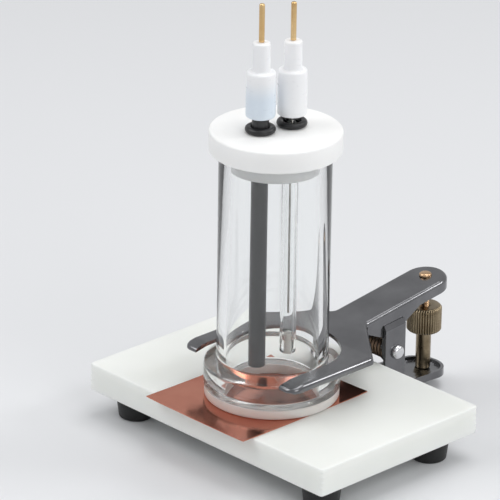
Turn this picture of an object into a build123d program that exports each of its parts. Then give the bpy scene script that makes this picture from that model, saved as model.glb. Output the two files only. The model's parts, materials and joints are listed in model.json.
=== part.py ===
"""Electrochemical cell for flat samples: a flanged glass tube clamped on a sheet electrode.

Millimetres, +Z up. The origin is the centre of the footprint on the table. The cell's axis
stands at (cell_x, cell_y), +X runs along the board's long side and +Y along the clamp's handles.
"""
import os
from math import cos, radians, sin

from build123d import *

os.makedirs("parts", exist_ok=True)

# Board and feet
board_length = 120.0
board_width = 78.0
board_thickness = 10.5
board_round = 0.7
board_ahead = 7.5            # board's centre behind the cell's axis
foot_height = 10.0
foot_top_radius = 7.5
foot_bottom_radius = 6.3
foot_inset = 12.0
foot_round = 0.8
screw_radius = 1.75
screw_head_radius = 3.2
screw_head_height = 2.4
screw_grip = 4.0             # rubber between the screw's head and the board
screw_reach = 6.5            # thread in the board
screw_taper = 12             # degrees
slot_length = 3.2
slot_width = 0.7
slot_depth = 1.2

# Sample sheet and gasket
sheet_length = 50.0
sheet_width = 61.5
sheet_thickness = 0.3
sheet_overhang = 4.8         # past the board's front edge
sheet_aside = -1.8           # sheet's centre from the cell's axis
gasket_radius = 24.2
gasket_thickness = 3.6
gasket_round = 0.5

# Glass
tube_radius = 20.0
glass_wall = 3.5
cell_height = 89.2
flange_radius = 24.5
flange_thickness = 8.9       # at the rim
flange_rise = 2.5            # of its sloped back up to the tube
flange_round = 1.6
foot_of_glass_round = 0.6
root_round = 1.0
lip_round = 0.9

# Cap
cap_radius = 23.5
cap_thickness = 8.0
cap_round = 0.8
plug_depth = 6.2
plug_clearance = 0.4
plug_bevel = 0.5
electrode_pitch = 12.9
electrode_bearing = 77.5     # degrees from +X of the line through the two electrodes

# Electrodes
rod_radius = 3.0
slide_clearance = 0.05
ring_section = 2.4
counter_tip = 12.8           # above the board
counter_handle = 106.9
reference_tip = 15.1
reference_handle = 105.4
handle_radius = 5.25
handle_length = 16.8
handle_round = 0.9
neck_radius = 3.2
neck_length = 10.6
neck_round = 0.5
rod_socket = 12.0
pin_radius = 1.0
pin_length = 14.0
pin_socket = 8.0
pin_shank = 0.8              # radius inside the handle
pin_round = 0.4
rod_bevel = 0.3
stem_round = 0.8
stem_bore = 2.1
frit_radius = 1.4
frit_length = 7.2
wire_radius = 0.4
wire_tip = 30.0              # above the board

# Clamp
steel = 1.4
ear_steel = 1.2
fork_half = 28.3
fork_reach = 17.5            # prong ends in front of the cell's axis
fork_corner = 4.0
fork_flange = 2.6            # depth of the turned-down edge
tip_y = 12.0                 # where the prong ends start to turn down
tip_drop = 1.0
shoulder_y = 22.8
outline_round = 2.5
throat_half = 21.2
throat_y = 4.7
neck_y = 39.5
bend_round = 1.6             # outside radius of the turned-down edges
crease_round = 7.0
upper_half = 8.3
upper_rise = 1.9             # of the neck above the fork
upper_slope = 0.13
upper_reach = 86.0
upper_flange = 4.6
cheek_front = 9.2            # above the board
cheek_rear = 12.4
cheek_sweep = 66.9           # where the cheek has run out into the handle's edge
lower_slope = 0.09
handle_step = 0.4            # lower handle's end short of the upper's
lower_end_half = 8.9
lower_rim = 1.4
ear_gap = 0.15
ear_front = 48.2
ear_rear = 58.4
ear_top = 14.1               # above the board, at the ear's front
ear_tilt = 0.8               # rise of its top to the rear
ear_lean = (1.9, 0.9)        # height and depth of the leaning band along its top
pivot_y = 54.0
pivot_z = 2.7                # above the board
pivot_radius = 2.0
pivot_clearance = 0.05
pivot_head_radius = 2.7
pivot_head_height = 1.9
pivot_head_round = 1.5
knuckle_radius = 5.2
spring_radius = 3.6
spring_wire = 0.55
spring_pitch = 1.6
spring_whole_turns = 5
spring_lean = 50.0           # degrees of each leg from level
stud_inset = 7.8             # from the upper handle's end
stud_radius = 1.8
stud_below = 24.0            # stud's end under the handle's top
rivet_radius = 2.35
rivet_height = 0.9
nut_radius = 6.5
nut_lift = 1.4               # head's underside above the board
nut_height = 9.9
nut_dome = 0.8
nut_bevel = 0.6
nut_grooves = 40
groove_depth = 0.35
sleeve_radius = 2.8
nut_floor = 1.5
seat_gap = 0.05
thread_clearance = 0.1

# Levels above the table and places that follow from the sizes
board_top = foot_height + board_thickness
sheet_top = board_top + sheet_thickness
glass_bottom = sheet_top + gasket_thickness
flange_top = glass_bottom + flange_thickness
tube_top = glass_bottom + cell_height
cap_top = tube_top + cap_thickness
bore_radius = tube_radius - glass_wall
plug_radius = bore_radius - plug_clearance
board_front = board_ahead - board_width / 2
sheet_front = board_front - sheet_overhang
cell_x = 2.5
cell_y = -(upper_reach + sheet_front) / 2
pivot_height = board_top + pivot_z
outer_half = upper_half + ear_gap + ear_steel
lower_reach = upper_reach - handle_step
stud_y = upper_reach - stud_inset

cell = Plane(origin=(cell_x, cell_y, 0))
side = Plane(origin=(cell_x, cell_y, 0), x_dir=(0, 1, 0), z_dir=(1, 0, 0))


def section(x, y):
    """Plane whose local x is the radius from a vertical axis at (x, y) and local y the height."""
    return Plane(origin=(x, y, 0), x_dir=(1, 0, 0), z_dir=(0, -1, 0))


def upright(x, y):
    """Vertical axis at (x, y)."""
    return Axis((x, y, 0), (0, 0, 1))


def rings(builder, height):
    """Level circular edges of the current solid at a height, the smallest first."""
    near = 0.01
    circles = builder.edges().filter_by(GeomType.CIRCLE)
    return circles.filter_by_position(Axis.Z, height - near, height + near).sort_by(SortBy.RADIUS)


def finish(builder, name):
    """Label a piece and write its file."""
    builder.part.label = name
    export_step(builder.part, f"parts/{name}.step")


# Board
board_plane = Plane(origin=(0, cell_y + board_ahead, 0))
foot_spacing = (board_length - 2 * foot_inset, board_width - 2 * foot_inset)
with BuildPart() as base_board:
    with BuildSketch(board_plane.offset(foot_height)):
        Rectangle(board_length, board_width)
    extrude(amount=board_thickness)
    fillet(base_board.edges(), board_round)
    with BuildSketch(board_plane.offset(foot_height)):
        with GridLocations(*foot_spacing, 2, 2):
            Circle(screw_radius + seat_gap)
    extrude(amount=screw_reach + seat_gap, mode=Mode.SUBTRACT)
finish(base_board, "base_board")

# Feet and their screws
foot_places = {
    "foot_front_left": (-1, -1),
    "foot_front_right": (1, -1),
    "foot_rear_left": (-1, 1),
    "foot_rear_right": (1, 1),
}
head_seat = foot_height - screw_grip
for name, (across, along) in foot_places.items():
    foot_x = across * foot_spacing[0] / 2
    foot_y = cell_y + board_ahead + along * foot_spacing[1] / 2
    with BuildPart() as foot:
        with BuildSketch(section(foot_x, foot_y)):
            with BuildLine():
                Polyline(
                    (screw_radius + seat_gap, foot_height),
                    (foot_top_radius, foot_height),
                    (foot_bottom_radius, 0),
                    (screw_head_radius + seat_gap, 0),
                    (screw_head_radius + seat_gap, head_seat),
                    (screw_radius + seat_gap, head_seat),
                    close=True,
                )
            make_face()
        revolve(axis=upright(foot_x, foot_y))
        fillet(rings(foot, 0)[-1], foot_round)
    finish(foot, name)

with BuildPart() as foot_screws:
    with BuildSketch(board_plane.offset(head_seat)):
        with GridLocations(*foot_spacing, 2, 2):
            Circle(screw_radius)
    extrude(amount=screw_grip + screw_reach)
    with BuildSketch(board_plane.offset(head_seat)):
        with GridLocations(*foot_spacing, 2, 2):
            Circle(screw_head_radius)
    extrude(amount=-screw_head_height, taper=screw_taper)
    with BuildSketch(board_plane.offset(head_seat - screw_head_height)):
        with GridLocations(*foot_spacing, 2, 2):
            Rectangle(slot_length, slot_width)
            Rectangle(slot_width, slot_length)
    extrude(amount=slot_depth, mode=Mode.SUBTRACT)
finish(foot_screws, "foot_screws")

# Sample sheet and gasket
with BuildPart() as copper_sheet:
    with BuildSketch(cell.offset(board_top)):
        with Locations((sheet_aside, sheet_front + sheet_width / 2)):
            Rectangle(sheet_length, sheet_width)
    extrude(amount=sheet_thickness)
finish(copper_sheet, "copper_sheet")

with BuildPart() as gasket:
    with BuildSketch(cell.offset(sheet_top)):
        Circle(gasket_radius)
        Circle(bore_radius, mode=Mode.SUBTRACT)
    extrude(amount=gasket_thickness)
    fillet(rings(gasket, glass_bottom)[-1], gasket_round)
    fillet(rings(gasket, sheet_top)[-1], gasket_round)
finish(gasket, "gasket")

# Glass tube with its ground flange
with BuildPart() as glass_cell:
    with BuildSketch(section(cell_x, cell_y)):
        with BuildLine():
            Polyline(
                (bore_radius, glass_bottom),
                (flange_radius, glass_bottom),
                (flange_radius, flange_top),
                (tube_radius, flange_top + flange_rise),
                (tube_radius, tube_top),
                (bore_radius, tube_top),
                close=True,
            )
        make_face()
    revolve(axis=upright(cell_x, cell_y))
    fillet(rings(glass_cell, flange_top)[-1], flange_round)
    fillet(rings(glass_cell, flange_top + flange_rise)[0], root_round)
    fillet(rings(glass_cell, glass_bottom)[-1], foot_of_glass_round)
    fillet(rings(glass_cell, tube_top), lip_round)
finish(glass_cell, "glass_cell")

# Cap
with BuildPart() as cap:
    with BuildSketch(cell.offset(tube_top - plug_depth)):
        Circle(plug_radius)
    extrude(amount=plug_depth)
    with BuildSketch(cell.offset(tube_top)):
        Circle(cap_radius)
    extrude(amount=cap_thickness)
    fillet(rings(cap, cap_top), cap_round)
    fillet(rings(cap, tube_top)[-1], cap_round)
    chamfer(rings(cap, tube_top - plug_depth), plug_bevel)
    with BuildSketch(cell.offset(cap_top)):
        with PolarLocations(electrode_pitch / 2, 2, start_angle=electrode_bearing):
            Circle(rod_radius + slide_clearance)
    extrude(amount=-(cap_thickness + plug_depth), mode=Mode.SUBTRACT)
finish(cap, "cap")

electrode_spots = PolarLocations(electrode_pitch / 2, 2, start_angle=electrode_bearing).locations
reference_x = cell_x + electrode_spots[0].position.X
reference_y = cell_y + electrode_spots[0].position.Y
counter_x = cell_x + electrode_spots[1].position.X
counter_y = cell_y + electrode_spots[1].position.Y


def electrode_handle(x, y, bottom):
    """Stepped handle with a blind hole for the rod below and one for the pin above."""
    shoulder = bottom + handle_length
    top = shoulder + neck_length
    with BuildPart() as handle:
        with BuildSketch(section(x, y)):
            with BuildLine():
                Polyline(
                    (0, bottom + rod_socket),
                    (rod_radius + slide_clearance, bottom + rod_socket),
                    (rod_radius + slide_clearance, bottom),
                    (handle_radius, bottom),
                    (handle_radius, shoulder),
                    (neck_radius, shoulder),
                    (neck_radius, top),
                    (pin_shank + seat_gap, top),
                    (pin_shank + seat_gap, top - pin_socket),
                    (0, top - pin_socket),
                    close=True,
                )
            make_face()
        revolve(axis=upright(x, y))
        fillet(rings(handle, bottom)[-1], handle_round)
        fillet(rings(handle, shoulder)[-1], handle_round)
        fillet(rings(handle, shoulder)[0], neck_round)
        fillet(rings(handle, top)[-1], neck_round)
    return handle


def contact_pin(x, y, bottom):
    """Round pin whose thinner shank is pressed into the top of a handle."""
    seat = bottom + handle_length + neck_length
    with BuildPart() as pin:
        with BuildSketch(Plane(origin=(x, y, seat - pin_socket))):
            Circle(pin_shank)
        extrude(amount=pin_socket)
        with BuildSketch(Plane(origin=(x, y, seat))):
            Circle(pin_radius)
        extrude(amount=pin_length)
        fillet(rings(pin, seat + pin_length), pin_round)
    return pin


def seal_ring(x, y):
    """O-ring round a rod, resting on the cap."""
    ring_centre = rod_radius + slide_clearance + ring_section / 2
    with BuildPart() as ring:
        with BuildSketch(section(x, y)):
            with Locations((ring_centre, cap_top + ring_section / 2)):
                Circle(ring_section / 2)
        revolve(axis=upright(x, y))
    return ring


# Counter electrode
with BuildPart() as counter_rod:
    with BuildSketch(Plane(origin=(counter_x, counter_y, board_top + counter_tip))):
        Circle(rod_radius)
    extrude(amount=counter_handle - counter_tip + rod_socket - seat_gap)
    chamfer(rings(counter_rod, board_top + counter_tip), rod_bevel)
finish(counter_rod, "counter_rod")
finish(electrode_handle(counter_x, counter_y, board_top + counter_handle), "counter_handle")
finish(contact_pin(counter_x, counter_y, board_top + counter_handle), "counter_pin")
finish(seal_ring(counter_x, counter_y), "counter_ring")

# Reference electrode
stem_end = board_top + reference_tip
stem_top = board_top + reference_handle + rod_socket - seat_gap
frit_top = stem_end + frit_length
with BuildPart() as reference_stem:
    with BuildSketch(section(reference_x, reference_y)):
        with BuildLine():
            Polyline(
                (frit_radius + seat_gap, stem_end),
                (rod_radius, stem_end),
                (rod_radius, stem_top),
                (stem_bore, stem_top),
                (stem_bore, frit_top),
                (frit_radius + seat_gap, frit_top - frit_length / 3),
                close=True,
            )
        make_face()
    revolve(axis=upright(reference_x, reference_y))
    fillet(rings(reference_stem, stem_end)[-1], stem_round)
finish(reference_stem, "reference_stem")

with BuildPart() as reference_frit:
    with BuildSketch(Plane(origin=(reference_x, reference_y, stem_end))):
        Circle(frit_radius)
    extrude(amount=frit_length)
finish(reference_frit, "reference_frit")

with BuildPart() as reference_wire:
    with BuildSketch(Plane(origin=(reference_x, reference_y, board_top + wire_tip))):
        Circle(wire_radius)
    extrude(amount=reference_handle + rod_socket - wire_tip)
finish(reference_wire, "reference_wire")
finish(electrode_handle(reference_x, reference_y, board_top + reference_handle), "reference_handle")
finish(contact_pin(reference_x, reference_y, board_top + reference_handle), "reference_pin")
finish(seal_ring(reference_x, reference_y), "reference_ring")

# Clamp: heights of the two bent strips along the handles
seat_rise = flange_rise * (flange_radius - throat_half) / (flange_radius - tube_radius)
upper_fork_top = flange_top + seat_rise + seat_gap + steel
upper_neck_top = upper_fork_top + upper_rise
lower_fork_top = foot_height
crease_y = shoulder_y
past = 5.0                   # how far a cutting shape runs past the steel


def upper_top(y):
    """Height of the upper handle's top."""
    return upper_neck_top + upper_slope * (y - neck_y)


def lower_top(y):
    """Height of the lower handle's floor."""
    return lower_fork_top - lower_slope * (y - neck_y)


handle_at_stud = upper_top(stud_y)
handle_face = Plane(
    origin=(cell_x, cell_y + stud_y, handle_at_stud),
    x_dir=(1, 0, 0),
    z_dir=(0, -upper_slope, 1),
)


def arm_outline(half, end_half, reach):
    """Flat outline of one arm without its throat: fork, neck and round-ended handle."""
    with BuildSketch() as outline:
        with BuildLine():
            flank = Polyline(
                (0, -fork_reach),
                (fork_half, -fork_reach),
                (fork_half, shoulder_y),
                (half, neck_y),
                (half, ear_rear),
                (end_half, reach - end_half),
            )
            ThreePointArc(
                flank @ 1,
                (end_half * 0.5**0.5, reach - end_half + end_half * 0.5**0.5),
                (0, reach),
            )
            mirror(about=Plane.YZ)
        make_face()
        tips = outline.vertices().group_by(Axis.Y)[0]
        fillet(tips, fork_corner)
        corners = outline.vertices().filter_by(lambda v: shoulder_y - past < v.Y < neck_y + past)
        fillet(corners, outline_round)
    return outline.sketch


def inner_outline(outline):
    """The arm's outline less the steel of its turned edges, open at the prong ends."""
    with BuildSketch() as inner:
        add(outline)
        offset(amount=-ear_steel)
        with Locations((0, -fork_reach)):
            Rectangle(2 * (fork_half - ear_steel), 2 * fork_corner + 2 * ear_steel)
    return inner.sketch


def throat_outline():
    """The fork's open slot."""
    with BuildSketch() as throat:
        with Locations((0, throat_y)):
            Circle(throat_half)
        with Locations((0, throat_y - fork_reach)):
            Rectangle(2 * throat_half, 2 * fork_reach)
    return throat.sketch


def strip(top_line, edge_line, outline, edge_round):
    """Bent strip: a side profile pushed across, trimmed to a flat outline and rounded on top."""
    near = 0.01
    with BuildPart() as bent:
        with BuildSketch(side) as profile:
            Polygon(*top_line, *reversed(edge_line), align=None)
            creases = [
                vertex
                for vertex in profile.vertices()
                for y, z in top_line[1:-1]
                if abs(vertex.X - y) < near and abs(vertex.Y - z) < near
            ]
            fillet(creases, crease_round)
        extrude(amount=fork_half + past, both=True)
        with BuildSketch(cell):
            add(outline)
        extrude(amount=tube_top, mode=Mode.INTERSECT)
        crown = [face for face in bent.faces() if face.normal_at().Z > 0.9]
        seams = ShapeList(edge for face in crown for edge in face.edges())
        border = [edge for edge in seams if sum(edge.is_same(other) for other in seams) == 1]
        fillet([edge for edge in border if edge.center().Y > cell_y - fork_reach + near], edge_round)
    return bent.part


def walls(points, half, end_half, reach):
    """Side walls of a handle: a thin wall along its outline, trimmed to a side profile."""
    with BuildPart() as standing:
        with BuildSketch(cell):
            with BuildLine():
                flank = Polyline((0, neck_y), (half, neck_y), (half, ear_rear), (end_half, reach - end_half))
                ThreePointArc(
                    flank @ 1,
                    (end_half * 0.5**0.5, reach - end_half + end_half * 0.5**0.5),
                    (0, reach),
                )
                mirror(about=Plane.YZ)
            make_face()
            offset(amount=-ear_steel, mode=Mode.SUBTRACT)
        extrude(amount=tube_top)
        with BuildSketch(side):
            Polygon(*points, align=None)
        extrude(amount=fork_half, both=True, mode=Mode.INTERSECT)
    return standing.part


knuckle_front = pivot_y - knuckle_radius
knuckle_rear = pivot_y + knuckle_radius
upper_outline = arm_outline(upper_half, upper_half, upper_reach)
upper_top_line = [
    (-fork_reach, upper_fork_top - tip_drop),
    (-tip_y, upper_fork_top),
    (crease_y, upper_fork_top),
    (neck_y, upper_neck_top),
    (upper_reach, upper_top(upper_reach)),
]
upper_edge_line = [
    (-fork_reach, upper_fork_top - fork_flange),
    (crease_y, upper_fork_top - fork_flange),
    (neck_y, upper_neck_top - upper_flange),
    (knuckle_front, board_top + cheek_front),
    (knuckle_rear, board_top + cheek_rear),
    (cheek_sweep, upper_top(cheek_sweep) - upper_flange),
    (upper_reach, upper_top(upper_reach) - upper_flange),
]
tip_slope = tip_drop / (fork_reach - tip_y)
upper_under_line = [(-fork_reach - past, upper_fork_top - steel - tip_drop - tip_slope * past)]
upper_under_line += [(y, z - steel) for y, z in upper_top_line[1:]]

with BuildSketch() as ear:
    with BuildLine():
        Polyline(
            (knuckle_front, pivot_height),
            (knuckle_front, board_top + cheek_front + ear_steel),
            (knuckle_rear, board_top + cheek_rear + ear_steel),
            (knuckle_rear, pivot_height),
        )
        ThreePointArc(
            (knuckle_rear, pivot_height),
            (pivot_y, pivot_height - knuckle_radius),
            (knuckle_front, pivot_height),
        )
    make_face()
    with Locations((pivot_y, pivot_height)):
        Circle(pivot_radius + pivot_clearance, mode=Mode.SUBTRACT)

with BuildPart() as clamp_upper_arm:
    add(strip(upper_top_line, upper_edge_line, upper_outline, bend_round))
    hollow = strip(
        upper_under_line,
        [(-fork_reach - past, foot_height), (upper_reach, foot_height)],
        inner_outline(upper_outline),
        bend_round - ear_steel,
    )
    add(hollow, mode=Mode.SUBTRACT)
    for start in (upper_half - ear_steel, -upper_half):
        with BuildSketch(side.offset(start)):
            add(ear.sketch)
        extrude(amount=ear_steel)
    with BuildSketch(cell):
        add(throat_outline())
        with Locations((0, stud_y)):
            Circle(stud_radius + seat_gap)
    extrude(amount=tube_top, mode=Mode.SUBTRACT)
finish(clamp_upper_arm, "clamp_upper_arm")

lower_top_line = [
    (-fork_reach, lower_fork_top),
    (neck_y, lower_fork_top),
    (lower_reach, lower_top(lower_reach)),
]
lower_walls = walls(
    [
        (ear_front, lower_top(ear_front) - steel / 2),
        (ear_front, board_top + ear_top),
        (ear_rear, board_top + ear_top + ear_tilt),
        (ear_rear, lower_top(ear_rear) + lower_rim),
        (lower_reach, lower_top(lower_reach) + lower_rim),
        (lower_reach, lower_top(lower_reach) - steel / 2),
    ],
    outer_half,
    lower_end_half,
    lower_reach,
)
ear_crest = Plane(
    origin=(cell_x, cell_y + ear_front, board_top + ear_top),
    x_dir=(1, 0, 0),
    z_dir=(0, ear_rear - ear_front, ear_tilt),
)
lean_height, lean_depth = ear_lean
flange_length = crease_y + fork_reach - fork_corner
with BuildPart() as clamp_lower_arm:
    with BuildSketch(side):
        Polygon(*lower_top_line, *[(y, z - steel) for y, z in reversed(lower_top_line)], align=None)
    extrude(amount=fork_half + past, both=True)
    with BuildSketch(cell):
        add(arm_outline(outer_half, lower_end_half, lower_reach))
    extrude(amount=tube_top, mode=Mode.INTERSECT)
    add(lower_walls)
    with BuildSketch(side):
        with Locations((pivot_y, pivot_height)):
            Circle(pivot_radius + pivot_clearance)
    extrude(amount=outer_half, both=True, mode=Mode.SUBTRACT)
    with BuildSketch(ear_crest):
        with BuildLine():
            Polyline(
                (outer_half - lean_depth, 0),
                (outer_half, lean_height),
                (outer_half + past, lean_height),
                (outer_half + past, -past),
                (outer_half - lean_depth, -past),
                close=True,
            )
        make_face()
        mirror(about=Plane.YZ)
    extrude(amount=ear_rear, both=True, mode=Mode.SUBTRACT)
    with BuildSketch(cell.offset(lower_fork_top)):
        with Locations((0, crease_y - flange_length / 2)):
            with GridLocations(2 * fork_half - ear_steel, 1, 2, 1):
                Rectangle(ear_steel, flange_length)
    extrude(amount=-fork_flange)
    with BuildSketch(cell):
        add(throat_outline())
    extrude(amount=lower_fork_top + past, mode=Mode.SUBTRACT)
finish(clamp_lower_arm, "clamp_lower_arm")

# Pivot pin with domed heads
pin_half = outer_half + seat_gap
with BuildPart() as pivot_pin:
    with BuildSketch(side):
        with Locations((pivot_y, pivot_height)):
            Circle(pivot_radius)
    extrude(amount=pin_half + pivot_head_height / 2, both=True)
    for way in (-1, 1):
        with BuildSketch(side.offset(way * pin_half)):
            with Locations((pivot_y, pivot_height)):
                Circle(pivot_head_radius)
        extrude(amount=way * pivot_head_height)
    domes = pivot_pin.edges().filter_by(GeomType.CIRCLE).sort_by(Axis.X)
    fillet([domes[0], domes[-1]], pivot_head_round)
finish(pivot_pin, "pivot_pin")

# Torsion spring round the pin, its two legs against the handles
lean = radians(spring_lean)
spring_seat = spring_wire + seat_gap
rise = upper_top(pivot_y - spring_radius * sin(lean)) - steel - pivot_height - spring_seat
upper_leg = (rise - spring_radius * cos(lean)) / (sin(lean) - upper_slope * cos(lean))
fall = pivot_height - lower_top(pivot_y - spring_radius * sin(lean)) - spring_seat
lower_leg = (fall - spring_radius * cos(lean)) / (sin(lean) - lower_slope * cos(lean))
spring_turns = spring_whole_turns + (180 - 2 * spring_lean) / 360
coil_width = spring_pitch * spring_turns
coil_plane = Plane(
    origin=(cell_x - coil_width / 2, cell_y + pivot_y, pivot_height),
    x_dir=(0, -sin(lean), cos(lean)),
    z_dir=(1, 0, 0),
)
coil = coil_plane * Helix(pitch=spring_pitch, height=coil_width, radius=spring_radius)
with BuildPart() as torsion_spring:
    with BuildSketch(Plane(origin=coil @ 0, z_dir=coil % 0)):
        Circle(spring_wire)
    sweep(path=coil, is_frenet=True)
    with BuildSketch(Plane(origin=coil @ 0, z_dir=-(coil % 0))):
        Circle(spring_wire)
    extrude(amount=upper_leg)
    with BuildSketch(Plane(origin=coil @ 1, z_dir=coil % 1)):
        Circle(spring_wire)
    extrude(amount=lower_leg)
finish(torsion_spring, "torsion_spring")

# Stud riveted in the upper handle
stud_end = handle_at_stud - stud_below
with BuildPart() as clamp_stud:
    with BuildSketch(cell.offset(stud_end)):
        with Locations((0, stud_y)):
            Circle(stud_radius)
    extrude(amount=stud_below + rivet_height / 2)
    with BuildSketch(handle_face.offset(seat_gap)):
        Circle(rivet_radius)
    extrude(amount=rivet_height)
    fillet(clamp_stud.faces().sort_by(Axis.Z)[-1].edges(), rivet_height / 2)
finish(clamp_stud, "clamp_stud")

# Thumb nut: knurled head and smooth sleeve
sleeve_bottom = lower_top(stud_y) + seat_gap + lower_slope * sleeve_radius
nut_bottom = board_top + nut_lift
nut_top = nut_bottom + nut_height
with BuildPart() as thumb_nut:
    with BuildSketch(section(cell_x, cell_y + stud_y)):
        with BuildLine():
            Polyline(
                (stud_radius + thread_clearance, nut_top),
                (nut_radius - nut_dome, nut_top),
                (nut_radius, nut_top - nut_dome),
                (nut_radius, nut_bottom + nut_bevel),
                (nut_radius - nut_bevel, nut_bottom),
                (sleeve_radius, nut_bottom),
                (sleeve_radius, sleeve_bottom),
                (0, sleeve_bottom),
                (0, sleeve_bottom + nut_floor),
                (stud_radius + thread_clearance, sleeve_bottom + nut_floor),
                close=True,
            )
        make_face()
    revolve(axis=upright(cell_x, cell_y + stud_y))
    with BuildSketch(cell.offset(nut_bottom)):
        with Locations((0, stud_y)):
            with PolarLocations(nut_radius, nut_grooves):
                Rectangle(2 * groove_depth, 2 * groove_depth, rotation=45)
    extrude(amount=nut_height, mode=Mode.SUBTRACT)
finish(thumb_nut, "thumb_nut")
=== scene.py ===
"""Looks of an electrochemical cell: a flanged glass tube clamped over a copper sheet on a white board.

The fields of the classes are in millimetres, where they are lengths and name no other unit.
"""
from __future__ import annotations

import json
import logging
import math
from dataclasses import dataclass
from enum import Enum
from typing import Sequence

import bmesh
import bpy
import numpy as np
from mathutils import Matrix, Vector

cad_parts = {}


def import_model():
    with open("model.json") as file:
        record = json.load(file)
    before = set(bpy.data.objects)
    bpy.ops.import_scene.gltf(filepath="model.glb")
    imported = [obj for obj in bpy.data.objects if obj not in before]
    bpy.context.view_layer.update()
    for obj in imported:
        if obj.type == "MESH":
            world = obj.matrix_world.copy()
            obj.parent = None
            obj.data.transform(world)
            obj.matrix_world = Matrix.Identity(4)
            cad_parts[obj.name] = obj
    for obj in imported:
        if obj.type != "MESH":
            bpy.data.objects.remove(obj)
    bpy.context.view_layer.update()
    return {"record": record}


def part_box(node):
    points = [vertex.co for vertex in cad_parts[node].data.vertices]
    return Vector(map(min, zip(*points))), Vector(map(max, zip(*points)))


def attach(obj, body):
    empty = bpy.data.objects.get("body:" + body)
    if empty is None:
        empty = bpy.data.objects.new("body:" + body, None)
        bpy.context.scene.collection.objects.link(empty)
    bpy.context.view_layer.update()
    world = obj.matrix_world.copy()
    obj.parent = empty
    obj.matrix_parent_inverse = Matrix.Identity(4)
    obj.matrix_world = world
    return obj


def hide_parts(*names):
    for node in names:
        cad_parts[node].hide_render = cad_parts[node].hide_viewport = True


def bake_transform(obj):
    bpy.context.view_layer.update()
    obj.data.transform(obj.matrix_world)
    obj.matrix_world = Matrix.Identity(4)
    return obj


log = logging.getLogger("cell")

MM = 0.001
PHOTO_WIDTH = 500.0
SENSOR_WIDTH = 36.0
SHARP = 35.0  # degrees past which an edge counts as sharp
# The graphite rod's shade is painted into the counter handle's colour up to this height.
ROD_IN_HANDLE = 15.0  # millimetres up the handle over which the graphite rod shows through

Pair = tuple[float, float]
Triple = tuple[float, float, float]
Colour = Triple
Socket = bpy.types.NodeSocket


@dataclass(frozen=True)
class Corner:
    """One corner of a turned profile.

    Args:
        radius: distance from the axis.
        height: height above the table.
        fillet: radius of the arc that rounds the corner, 0 for a sharp one.
    """

    radius: float
    height: float
    fillet: float = 0.0


def rounded(corners: Sequence[Corner], closed: bool, steps: int = 7) -> np.ndarray:
    """Profile points with each corner replaced by a tangent arc.

    A corner of half angle h and fillet f gives an arc about the point at f / sin(h) along the
    corner's bisector, between the two points at f / tan(h) along its sides.

    Args:
        corners: the profile's corners in order.
        closed: whether the last corner joins the first.
        steps: points on each arc.

    Returns:
        An array of (radius, height) rows.
    """
    plain = np.array([(c.radius, c.height) for c in corners], float)
    rows = []
    for i, corner in enumerate(corners):
        here = plain[i]
        at_end = not closed and i in (0, len(corners) - 1)
        if corner.fillet <= 0 or at_end:
            rows.append(here[None])
            continue
        to_last = plain[i - 1] - here
        to_next = plain[(i + 1) % len(corners)] - here
        to_last = to_last / np.linalg.norm(to_last)
        to_next = to_next / np.linalg.norm(to_next)
        half = math.acos(float(np.clip(to_last @ to_next, -1, 1))) / 2
        bisector = (to_last + to_next) / np.linalg.norm(to_last + to_next)
        centre = here + bisector * corner.fillet / math.sin(half)
        start = here + to_last * corner.fillet / math.tan(half) - centre
        end = here + to_next * corner.fillet / math.tan(half) - centre
        turn = math.pi - 2 * half
        share = np.linspace(0, 1, steps)[:, None]
        arc = (np.sin((1 - share) * turn) * start + np.sin(share * turn) * end) / math.sin(turn)
        rows.append(centre + arc)
    return np.concatenate(rows)


def surface(name: str, points: np.ndarray, wrap_rows: bool, sharp: float = SHARP) -> bpy.types.Object:
    """Closed smooth-shaded mesh from a grid of points whose columns go round.

    Args:
        name: the piece's name.
        points: array of shape (rows, columns, 3), in metres.
        wrap_rows: whether the last row joins the first. Otherwise the end rows close in poles.
        sharp: edges that turn by more than this many degrees stay sharp.

    Returns:
        The new object.
    """
    rows, columns = points.shape[:2]
    index = np.arange(rows * columns).reshape(rows, columns)
    if wrap_rows:
        index = np.concatenate([index, index[:1]])
    index = np.concatenate([index, index[:, :1]], axis=1)
    quads = np.stack([index[:-1, :-1], index[1:, :-1], index[1:, 1:], index[:-1, 1:]], axis=-1)
    mesh = bpy.data.meshes.new(name)
    mesh.from_pydata(points.reshape(-1, 3).tolist(), [], quads.reshape(-1, 4).tolist())
    return closed_piece(name, mesh, sharp)


def closed_piece(name: str, mesh: bpy.types.Mesh, sharp: float) -> bpy.types.Object:
    """Merge a mesh's doubles, turn its faces outwards and make it an object.

    Args:
        name: the piece's name.
        mesh: the mesh, in metres in the shared frame.
        sharp: edges that turn by more than this many degrees stay sharp.

    Returns:
        The new object.
    """
    work = bmesh.new()
    work.from_mesh(mesh)
    bmesh.ops.remove_doubles(work, verts=work.verts, dist=1e-7)
    bmesh.ops.recalc_face_normals(work, faces=work.faces)
    work.to_mesh(mesh)
    work.free()
    mesh.shade_smooth()
    mesh.set_sharp_from_angle(angle=math.radians(sharp))
    piece = bpy.data.objects.new(name, mesh)
    bpy.context.scene.collection.objects.link(piece)
    return piece


def dressed_copy(node: str, bevel: float = 0.0, segments: int = 2) -> bpy.types.Object:
    """Copy of a CAD node with its loose triangles merged and its sharp edges eased.

    Args:
        node: the CAD node's name.
        bevel: width of the eased edge in millimetres, 0 for none.
        segments: steps across the eased edge.

    Returns:
        The copy, which stands for the node.
    """
    mesh = bpy.data.objects[node].data.copy()
    mesh.materials.clear()
    piece = closed_piece(node + "_dressed", mesh, SHARP)
    if bevel:
        ease = piece.modifiers.new("ease", "BEVEL")
        ease.width = bevel * MM
        ease.segments = segments
        ease.limit_method = "ANGLE"
        ease.angle_limit = math.radians(SHARP)
        ease.harden_normals = True
    return piece


def centre_of(node: str) -> Pair:
    """The x and y of a CAD node's middle, in metres."""
    low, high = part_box(node)
    return (low[0] + high[0]) / 2, (low[1] + high[1]) / 2


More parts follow.
